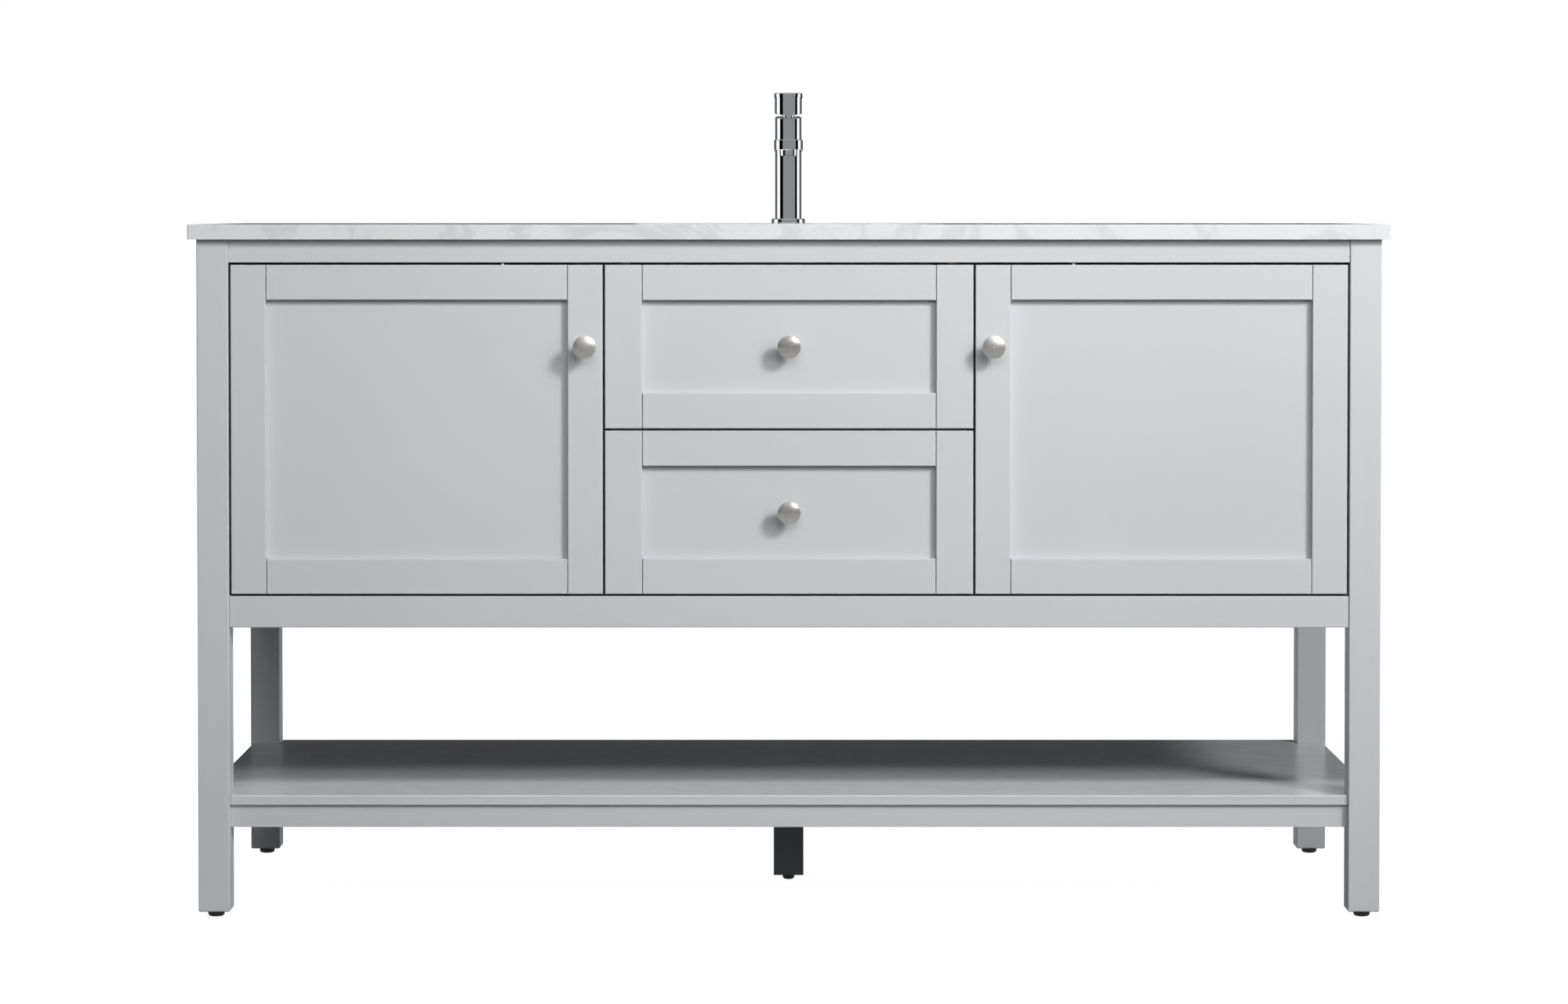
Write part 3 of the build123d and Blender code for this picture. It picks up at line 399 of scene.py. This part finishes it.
def turned_nickel(name, centre, rough):
    """Satin nickel, turned in fine rings round an axis along Y through centre."""
    metal = Shader(name, (0.76, 0.75, 0.73), rough, metal=1.0, anisotropic=0.5)
    local = metal.placed(stretch=(1, 0, 1), centre=centre)
    rings = metal.rings(900, distortion=1.5, detail=3, where=local)
    swirl = metal.noise(120, detail=5, distortion=2.2, where=local)
    metal.colour(metal.ramp(swirl, [(0.3, (0.68, 0.67, 0.65)), (0.7, (0.80, 0.79, 0.77))]))
    metal.rough(metal.spread(metal.blend(rings, swirl, 0.6), rough - 0.08, rough + 0.08))
    metal.bump(rings, 0.006 * MM)
    return metal.material


def zinc(name, base):
    """Bright zinc plate: a crystalline mottle with a slightly iridescent passivated tint."""
    metal = Shader(name, base, 0.33, metal=1.0)
    cells = metal.specks(260)
    tint = metal.noise(30, detail=3)
    first = metal.ramp(cells, [(0.05, [c * 0.82 for c in base]), (0.6, base)])
    second = metal.ramp(tint, [(0.35, (0.93, 0.95, 1.0)), (0.65, (1.0, 0.98, 0.92))])
    metal.colour(metal.blend(first, second, 0.8, "MULTIPLY"))
    metal.rough(metal.spread(cells, 0.26, 0.42))
    metal.bump(metal.noise(500, detail=2), 0.02 * MM)
    return metal.material


def moulded(name, base, dusty, rough, **sockets):
    """Moulded nylon or rubber: spark-eroded grain and scuffed dust."""
    plastic = Shader(name, base, rough, **sockets)
    plastic.colour(plastic.ramp(plastic.noise(55, detail=5), [(0.35, base), (0.75, dusty)]))
    plastic.rough(plastic.spread(plastic.noise(200, detail=3), rough - 0.08, rough + 0.1))
    plastic.bump(plastic.noise(1300, detail=2), 0.03 * MM)
    return plastic.material


def finish_nodes():
    """Gives every CAD node the full material of its slot in the record. The knobs' nickel is turned round
    each knob, so every knob has its own."""
    door_knob, drawer_knob = 0.42, 0.27  # how rough
    looks = {
        "grey_paint": sprayed_paint("grey_lacquer", GREY, 0.40),
        "shelf_paint": sprayed_paint("shelf_lacquer", GREY, 0.22, peel=0.003 * MM),
        # The centre support's lacquer is dark as painted shade: it replaces the cabinet's grey paint to show
        # the deep shade the support stands in under the shelf.
        "black_paint": sprayed_paint("black_lacquer", (0.17, 0.178, 0.19), 0.5),
        "inside_board": birch("birch_ply", GREY),
        "white_stone": marble(),
        "basin_glaze": glaze(),
        "tap_chrome": chrome(),
        "zinc_steel": zinc("zinc_plate", (0.62, 0.63, 0.65)),
        "nickel_steel": brushed("nickel_plate", (0.68, 0.68, 0.67), 0.25, (1.0, 0.05, 1.0)),
        "foot_plastic": moulded("black_nylon", (0.022, 0.022, 0.024), (0.043, 0.043, 0.046), 0.45),
        "brass_parts": brushed("turned_brass", (0.74, 0.56, 0.27), 0.28, (1.0, 1.0, 0.05)),
        "gasket_rubber": moulded("black_rubber", (0.03, 0.03, 0.031), (0.055, 0.055, 0.056), 0.7),
    }
    for node, piece in nodes.items():
        for slot in piece.material_slots:
            if slot.material.name == "brushed_nickel":
                low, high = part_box(node)
                rough = door_knob if "door" in node else drawer_knob
                slot.material = turned_nickel(f"{node}_nickel", (low + high) / 2, rough)
            else:
                slot.material = looks[slot.material.name]
    return looks


def ease_edges(names, width):
    """Small rounds along a node's sharp edges, as sanding and paint, or pressing, leave them."""
    for name in names:
        modifiers = nodes[name].modifiers
        modifiers.new("weld", "WELD").merge_threshold = 0.001 * MM
        flat = modifiers.new("flat", "DECIMATE")
        flat.decimate_type = "DISSOLVE"
        flat.angle_limit = math.radians(1)
        bevel = modifiers.new("edges", "BEVEL")
        bevel.width = width
        bevel.segments = 2
        bevel.limit_method = "ANGLE"
        bevel.angle_limit = math.radians(35)
        modifiers.new("shading", "WEIGHTED_NORMAL").weight = 100


def ease_all_edges():
    board_round, metal_round = 0.25 * MM, 0.2 * MM
    boards = ["front_rails", "side_rails", "back_rails", "shelf_rails", "lower_shelf"]
    boards += ["side_panels", "partitions", "cabinet_floor", "back_panels", "hinge_packers"]
    boards += [f"{side}_door_frame" for side in SIDES]
    for drawer in DRAWERS:
        boards += [f"{drawer}_drawer_{part}" for part in ("front_frame", "box_walls", "box_bottom")]
    ease_edges(boards, board_round)
    metal = ["hinge_arms", "slide_channels"]
    metal += [f"{drawer}_slide_{part}" for drawer in DRAWERS for part in ("middles", "runners")]
    ease_edges(metal, metal_round)


# ---- mesh building -------------------------------------------------------------------------------
def turns(count):
    """Angles at equal steps round a whole turn."""
    return [2 * math.pi * step / count for step in range(count)]


def ring(radius, height, sides=24):
    """One loop of points round the Z axis."""
    return [(radius * math.cos(a), radius * math.sin(a), height) for a in turns(sides)]


def loft(shape, loops, capped=True):
    """A skin over closed loops of points, each with the same number of points. Gives back their vertices."""
    made = [[shape.verts.new(point) for point in loop] for loop in loops]
    for first, second in zip(made, made[1:]):
        for i in range(len(first)):
            shape.faces.new((first[i - 1], first[i], second[i], second[i - 1]))
    if capped:
        shape.faces.new(made[0])
        shape.faces.new(made[-1])
    return made


def template(shape):
    """The shape as a mesh to copy."""
    mesh = bpy.data.meshes.new("template")
    shape.to_mesh(mesh)
    shape.free()
    return mesh


def copies(mesh, places):
    """One shape that holds a copy of the mesh at each place."""
    shape = bmesh.new()
    for place in places:
        start = len(shape.verts)
        shape.from_mesh(mesh)
        shape.verts.ensure_lookup_table()
        bmesh.ops.transform(shape, matrix=place, verts=shape.verts[start:])
    return shape


def facing(point, direction, size=1.0):
    """A place at the point, with the template's Z turned to the direction."""
    aim = Vector(direction).to_track_quat("Z", "Y").to_matrix().to_4x4()
    return Matrix.Translation(point) @ aim @ Matrix.Scale(size, 4)


def piece(name, shape, body, material, slot=None):
    """Makes the shape one object that rides the body, with the material in its slot. The slot argument is
    not used.
    """
    bmesh.ops.recalc_face_normals(shape, faces=shape.faces)
    for face in shape.faces:
        face.smooth = True
    mesh = bpy.data.meshes.new(name)
    shape.to_mesh(mesh)
    shape.free()
    mesh.set_sharp_from_angle(angle=math.radians(35))
    mesh.materials.append(material)
    made = bpy.data.objects.new(name, mesh)
    bpy.context.scene.collection.objects.link(made)
    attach(made, body)


# ---- screws, nuts and threads --------------------------------------------------------------------
def cross_outline(arm, reach, height):
    """The twelve corners of a plus sign, anticlockwise."""
    quarter = [(reach, -arm), (reach, arm), (arm, arm)]
    corners = []
    for angle in turns(4):
        c, s = math.cos(angle), math.sin(angle)
        corners += [(x * c - y * s, x * s + y * c, height) for x, y in quarter]
    return corners


def screw_head():
    """A pan head with a cross recess: radius 1, standing on z = 0."""
    shape = bmesh.new()
    tall, floor = 0.56, 0.2
    pan = ((0.93, 0), (1.0, 0.1), (1.0, 0.25), (0.88, 0.47), (0.66, tall))
    bowl = loft(shape, [ring(r, z) for r, z in pan], capped=False)
    recess = loft(shape, [cross_outline(0.13, 0.48, tall), cross_outline(0.09, 0.3, floor)], capped=False)
    shape.faces.new(bowl[0])
    shape.faces.new(recess[1])
    mouths = (bowl[-1], recess[0])
    rims = [shape.edges.get((loop[i - 1], loop[i])) for loop in mouths for i in range(len(loop))]
    bmesh.ops.triangle_fill(shape, use_beauty=True, edges=rims)
    return template(shape)


def cabinet_screws():
    """In the hinges' wing plates and arms, the slides' channels and the back panels."""
    return hinge_plate_screws() + channel_screws() + back_panel_screws()


def hinge_plate_screws():
    """Two through each plate's wings, and two along the arm that stands on it."""
    low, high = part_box("hinge_arms")
    plate_half, plate_y = 24 * MM, low.y + 43.5 * MM
    wing_spread, wing_face, wing_head = 16.5 * MM, 3 * MM, 3.6 * MM
    arm_front, arm_back, arm_face, arm_head = -7 * MM, 10 * MM, 13 * MM, 2.7 * MM
    places = []
    for z in (low.z + plate_half, high.z - plate_half):
        for x, aim, inwards in ((low.x, RIGHT, 1), (high.x, LEFT, -1)):
            for dz in (-wing_spread, wing_spread):
                places.append(facing((x + inwards * wing_face, plate_y, z + dz), aim, wing_head))
            for dy in (arm_front, arm_back):
                places.append(facing((x + inwards * arm_face, plate_y + dy, z), aim, arm_head))
    return places


def channel_screws():
    """Three along each of the slides' fixed channels."""
    low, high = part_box("slide_channels")
    channel_half, web, head = 22.5 * MM, 1.2 * MM, 3.4 * MM
    places = []
    for z in (low.z + channel_half, high.z - channel_half):
        for dy in (30 * MM, 190 * MM, 360 * MM):
            places.append(facing((low.x + web, low.y + dy, z), RIGHT, head))
            places.append(facing((high.x - web, low.y + dy, z), LEFT, head))
    return places


def back_panel_screws():
    """Round the edges of both back panels."""
    low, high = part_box("back_panels")
    inset, board_half, head = 10 * MM, 9 * MM, 3.0 * MM
    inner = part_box("partitions")[0].x + board_half
    outer, middle = low.x + inset, (low.x + inner) / 2
    half_way = (low.z + high.z) / 2
    places = []
    for z in (low.z + inset, half_way, high.z - inset):
        for x in (outer, middle, inner):
            if (x, z) != (middle, half_way):
                places += [facing((side * x, high.y, z), TO_WALL, head) for side in (1, -1)]
    return places


def cup_places(side):
    """The middles of a door's two hinge cups, level with the backs of their flanges."""
    low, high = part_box(f"{side}_door_hinge_cups")
    return [((low.x + high.x) / 2, high.y, z) for z in (low.z + FLANGE_HALF, high.z - FLANGE_HALF)]


def door_screws(side):
    """One above and one below each hinge cup."""
    spread, head = 23.7 * MM, 2.9 * MM
    places = []
    for x, y, z in cup_places(side):
        places += [facing((x, y, z + dz), TO_WALL, head) for dz in (-spread, spread)]
    return places


def drawer_screws(drawer):
    """Through the box into the front, and in the slides' runners."""
    low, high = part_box(f"{drawer}_drawer_box_walls")
    wall, from_middle, rise, front_head = 12 * MM, 150 * MM, 4 * MM, 3.4 * MM
    middle, spread = (low.z + high.z) / 2 + rise, (high.z - low.z) / 5
    places = []
    for x in (-from_middle, from_middle):
        for z in (middle - spread, middle + spread):
            places.append(facing((x, low.y + wall, z), TO_WALL, front_head))
    low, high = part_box(f"{drawer}_slide_runners")
    runner_face, runner_head, runner_z = 4.8 * MM, 3.0 * MM, (low.z + high.z) / 2
    for dy in (40 * MM, 200 * MM, 350 * MM):
        places.append(facing((low.x + runner_face, low.y + dy, runner_z), LEFT, runner_head))
        places.append(facing((high.x - runner_face, low.y + dy, runner_z), RIGHT, runner_head))
    return places


def make_screws():
    head = screw_head()
    bodies = {"cabinet": cabinet_screws()}
    bodies.update({f"{side}_door": door_screws(side) for side in SIDES})
    bodies.update({f"{drawer}_drawer": drawer_screws(drawer) for drawer in DRAWERS})
    for body, places in bodies.items():
        piece(f"{body}_screw_heads", copies(head, places), body, looks["zinc_steel"], "zinc_steel")


def thread(radius, pitch, low, high):
    """A ridge that winds up a round bar about Z, from the height low to high. It is rooted in the bar."""
    shape = bmesh.new()
    sides, root, crest = 40, -0.3 * MM, 0.55 * MM
    root_half, crest_half = 0.48 * pitch, 0.06 * pitch
    profile = ((root, -root_half), (crest, -crest_half), (crest, crest_half), (root, root_half))
    loops = []
    for step in range(int((high - low) / pitch * sides)):
        angle = 2 * math.pi * step / sides
        z = low + pitch * step / sides
        c, s = math.cos(angle), math.sin(angle)
        loops.append([((radius + r) * c, (radius + r) * s, z + dz) for r, dz in profile])
    loft(shape, loops)
    return shape


def make_threads():
    """The drain body's thread below its nut, and the tap shank's below its own."""
    low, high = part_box("drain_nut_and_gasket")
    middle = (low + high) / 2
    drain = thread(radius=22 * MM, pitch=2.2 * MM, low=low.z - 24 * MM, high=low.z + 1 * MM)
    drain.transform(Matrix.Translation((0, middle.y, 0)))
    piece("drain_thread", drain, "cabinet", looks["tap_chrome"], "tap_chrome")
    low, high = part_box("faucet_shank")
    shank = thread(radius=14 * MM, pitch=1.8 * MM, low=low.z + 1.5 * MM, high=low.z + 30 * MM)
    shank.transform(Matrix.Translation((0, (low.y + high.y) / 2, 0)))
    piece("shank_thread", shank, "cabinet", looks["brass_parts"], "brass_parts")


def make_clip_nuts():
    """The nuts that draw the basin's clips up to the top, with their washers."""
    shape = bmesh.new()
    washer = ((8.0, -0.9), (8.3, -0.7), (8.3, -0.2), (8.0, 0.0))
    nut = ((6.4, -4.3), (6.9, -3.8), (6.9, -1.3), (6.4, -0.9))
    loft(shape, [ring(r * MM, z * MM) for r, z in washer])
    loft(shape, [ring(r * MM, z * MM, sides=6) for r, z in nut])
    low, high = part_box("basin_clips")
    clip_drop, inset_x, inset_y = 13 * MM, 10 * MM, 6 * MM
    clip_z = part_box("basin")[1].z - clip_drop
    xs = (low.x + inset_x, high.x - inset_x)
    ys = (low.y + inset_y, high.y - inset_y)
    places = [Matrix.Translation((x, y, clip_z)) for x in xs for y in ys]
    piece("clip_nuts", copies(template(shape), places), "cabinet", looks["zinc_steel"], "zinc_steel")


# ---- small working details -----------------------------------------------------------------------
def make_bumpers():
    """Soft dots on the backs of the doors and drawer fronts, where they close on the partitions."""
    shape = bmesh.new()
    dome = ((3.6, 0.0), (3.6, 0.5), (3.2, 1.1), (2.2, 1.5), (0.8, 1.65))
    loft(shape, [ring(r * MM, z * MM) for r, z in dome])
    dot = template(shape)
    clear, dusty = (0.78, 0.79, 0.78), (0.70, 0.71, 0.70)
    rubber = moulded("clear_rubber", clear, dusty, 0.2, transmission_weight=0.45)
    inset, door_end, drawer_end = 4 * MM, 30 * MM, 20 * MM
    for side in SIDES:
        low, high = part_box(f"{side}_door_frame")
        x = high.x - inset if side == "left" else low.x + inset
        places = [facing((x, high.y, z), TO_WALL) for z in (low.z + door_end, high.z - door_end)]
        piece(f"{side}_door_bumpers", copies(dot, places), f"{side}_door", rubber)
    for drawer in DRAWERS:
        low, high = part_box(f"{drawer}_drawer_front_frame")
        xs, zs = (low.x + inset, high.x - inset), (low.z + drawer_end, high.z - drawer_end)
        places = [facing((x, high.y, z), TO_WALL) for x in xs for z in zs]
        piece(f"{drawer}_drawer_bumpers", copies(dot, places), f"{drawer}_drawer", rubber)


def make_balls():
    """The slides' balls, standing a little out of their cages."""
    shape = bmesh.new()
    bmesh.ops.create_icosphere(shape, subdivisions=2, radius=1.0)
    ball = template(shape)
    count, pitch, inset = 12, 12 * MM, 3.3 * MM
    # each race: where it starts, how far it is from the middle, and the balls' radius
    back_race, front_race = (239 * MM, 19.5 * MM, 1.72 * MM), (29 * MM, 14.8 * MM, 2.1 * MM)
    nickel = looks["nickel_steel"]
    for drawer in DRAWERS:
        low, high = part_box(f"{drawer}_slide_middles")
        middle = (low.z + high.z) / 2
        places = []
        for x in (low.x + inset, high.x - inset):
            for start, offset, radius in (back_race, front_race):
                for y in [low.y + start + i * pitch for i in range(count)]:
                    for z in (middle - offset, middle + offset):
                        places.append(Matrix.Translation((x, y, z)) @ Matrix.Scale(radius, 4))
        piece(f"{drawer}_slide_balls", copies(ball, places), f"{drawer}_slide", nickel, "nickel_steel")


def make_hinge_links():
    """The links folded inside each hinge cup: a bar with an eye and a pin at each end."""
    shape = bmesh.new()
    reach, bar_half, eye, pin = 7 * MM, 2.4 * MM, 3.4 * MM, 1.5 * MM
    link_half, pin_half = 5.2 * MM, 14 * MM
    sunk = 5 * MM  # how far the links lie below the cup's flange
    for x in (-reach, reach):
        for radius, half in ((eye, link_half), (pin, pin_half)):
            loft(shape, [[(x + a, b, z) for a, b, _ in ring(radius, 0)] for z in (-half, half)])
    bar = [(-reach, -bar_half), (reach, -bar_half), (reach, bar_half), (-reach, bar_half)]
    loft(shape, [[(x, y, z) for x, y in bar] for z in (-link_half, link_half)])
    link = template(shape)
    nickel = looks["nickel_steel"]
    for side in SIDES:
        places = [Matrix.Translation((x, y - sunk, z)) for x, y, z in cup_places(side)]
        piece(f"{side}_hinge_links", copies(link, places), f"{side}_door", nickel, "nickel_steel")


def make_aerator_screen():
    """The screen in the aerator's mouth: a layer of wires, and another laid across it."""
    low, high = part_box("faucet_aerator")
    reach, step, wire, sunk = 9.6 * MM, 1.2 * MM, 0.2 * MM, 2 * MM
    wires = int(reach / step - 0.5)  # to each side of the middle one
    shape = bmesh.new()
    for i in range(-wires, wires + 1):
        across = i * step
        half = math.sqrt(reach ** 2 - across ** 2)
        for turn, lift in ((0, 0), (math.pi / 2, 1.2 * wire)):
            ends = [[(x, across + y, lift + z) for y, z, _ in ring(wire, 0, 6)] for x in (-half, half)]
            made = loft(shape, ends)
            spin = Matrix.Rotation(turn, 4, "Z")
            bmesh.ops.transform(shape, matrix=spin, verts=[v for loop in made for v in loop])
    middle = (low + high) / 2
    shape.transform(Matrix.Translation((middle.x, middle.y, low.z + sunk)))
    piece("aerator_screen", shape, "cabinet", looks["nickel_steel"], "nickel_steel")


def make_sealant():
    """The thin bead of silicone between the stone and the basin, round the basin's mouth."""
    low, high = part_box("basin")
    flange, corner, radius, steps = 20 * MM, 55 * MM, 1.6 * MM, 12
    centre = (low + high) / 2
    half_x, half_y = (high.x - low.x) / 2 - flange - corner, (high.y - low.y) / 2 - flange - corner
    loops = []
    for quarter, (sx, sy) in enumerate(((1, 1), (-1, 1), (-1, -1), (1, -1))):
        for step in range(steps + 1):
            angle = math.pi / 2 * (quarter + step / steps)
            c, s = math.cos(angle), math.sin(angle)
            x, y = centre.x + sx * half_x, centre.y + sy * half_y
            out = [(corner + r, z) for r, z, _ in ring(radius, 0, 8)]
            loops.append([(x + c * r, y + s * r, high.z + z) for r, z in out])
    shape = bmesh.new()
    loft(shape, loops + loops[:1], capped=False)
    bmesh.ops.remove_doubles(shape, verts=shape.verts, dist=0.01 * MM)
    clean, dusty = (0.84, 0.84, 0.82), (0.80, 0.80, 0.77)
    silicone = moulded("white_silicone", clean, dusty, 0.25, subsurface_weight=0.2)
    piece("basin_sealant", shape, "cabinet", silicone)


make_camera()
make_world()
make_lights()
make_floor()
looks = finish_nodes()
ease_all_edges()
make_screws()
make_threads()
make_clip_nuts()
make_bumpers()
make_balls()
make_hinge_links()
make_aerator_screen()
make_sealant()
bpy.context.scene.view_settings.view_transform = "Standard"
